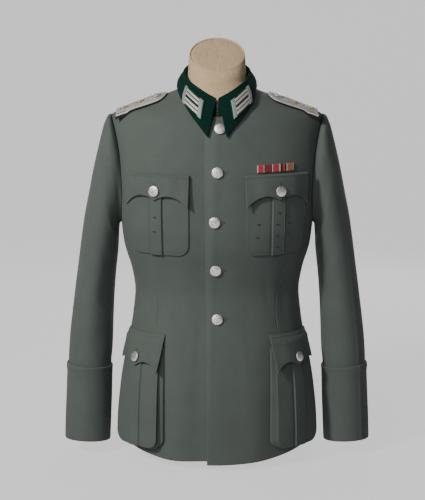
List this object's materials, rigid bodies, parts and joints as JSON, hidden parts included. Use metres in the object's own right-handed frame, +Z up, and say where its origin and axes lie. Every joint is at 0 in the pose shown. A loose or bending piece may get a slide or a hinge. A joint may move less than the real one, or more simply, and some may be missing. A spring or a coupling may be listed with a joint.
{
  "type": "military tunic on a dress form",
  "caption": "Field-grey wool officer's tunic with a dark green collar, deep cuffs and pleated flap pockets, buttoned on a limbless linen dress form that stands by itself.",
  "frame": {"origin": "on the floor under the middle of the object, where the dress form's base stands", "axes": "+Z up the form's neck, -Y out of the buttoned front, +X to the wearer's left"},
  "size_m": [0.6316, 0.294, 0.8474],
  "materials": {
    "field_cloth": "matt wool gabardine",
    "collar_cloth": "napped badge cloth",
    "silver_lace": "braided metal thread",
    "silver_metal": "pebbled, matt silver",
    "gilt_metal": "gilt",
    "ribbon": "ribbed silk",
    "linen": "slubbed linen"
  },
  "bodies": {
    "root": {"dress_form": "linen", "front_left": "field_cloth", "front_right": "field_cloth", "back_left": "field_cloth", "back_right": "field_cloth", "sleeve_left": "field_cloth", "sleeve_right": "field_cloth", "cuff_left": "field_cloth", "cuff_right": "field_cloth", "collar": "collar_cloth", "collar_patch_left": "silver_lace", "collar_patch_right": "silver_lace", "chest_pocket_left": "field_cloth", "chest_pocket_right": "field_cloth", "chest_flap_left": "field_cloth", "chest_flap_right": "field_cloth", "chest_button_left": "silver_metal", "chest_button_right": "silver_metal", "skirt_pocket_left": "field_cloth", "skirt_pocket_right": "field_cloth", "skirt_flap_left": "field_cloth", "skirt_flap_right": "field_cloth", "skirt_button_left": "silver_metal", "skirt_button_right": "silver_metal", "front_button_1": "silver_metal", "front_button_2": "silver_metal", "front_button_3": "silver_metal", "front_button_4": "silver_metal", "front_button_5": "silver_metal", "shoulder_board_left": "silver_lace", "shoulder_board_right": "silver_lace", "star_left_1": "gilt_metal", "star_left_2": "gilt_metal", "star_right_1": "gilt_metal", "star_right_2": "gilt_metal", "board_button_left": "silver_metal", "board_button_right": "silver_metal", "ribbon_bar": "ribbon"}
  },
  "joints": []
}
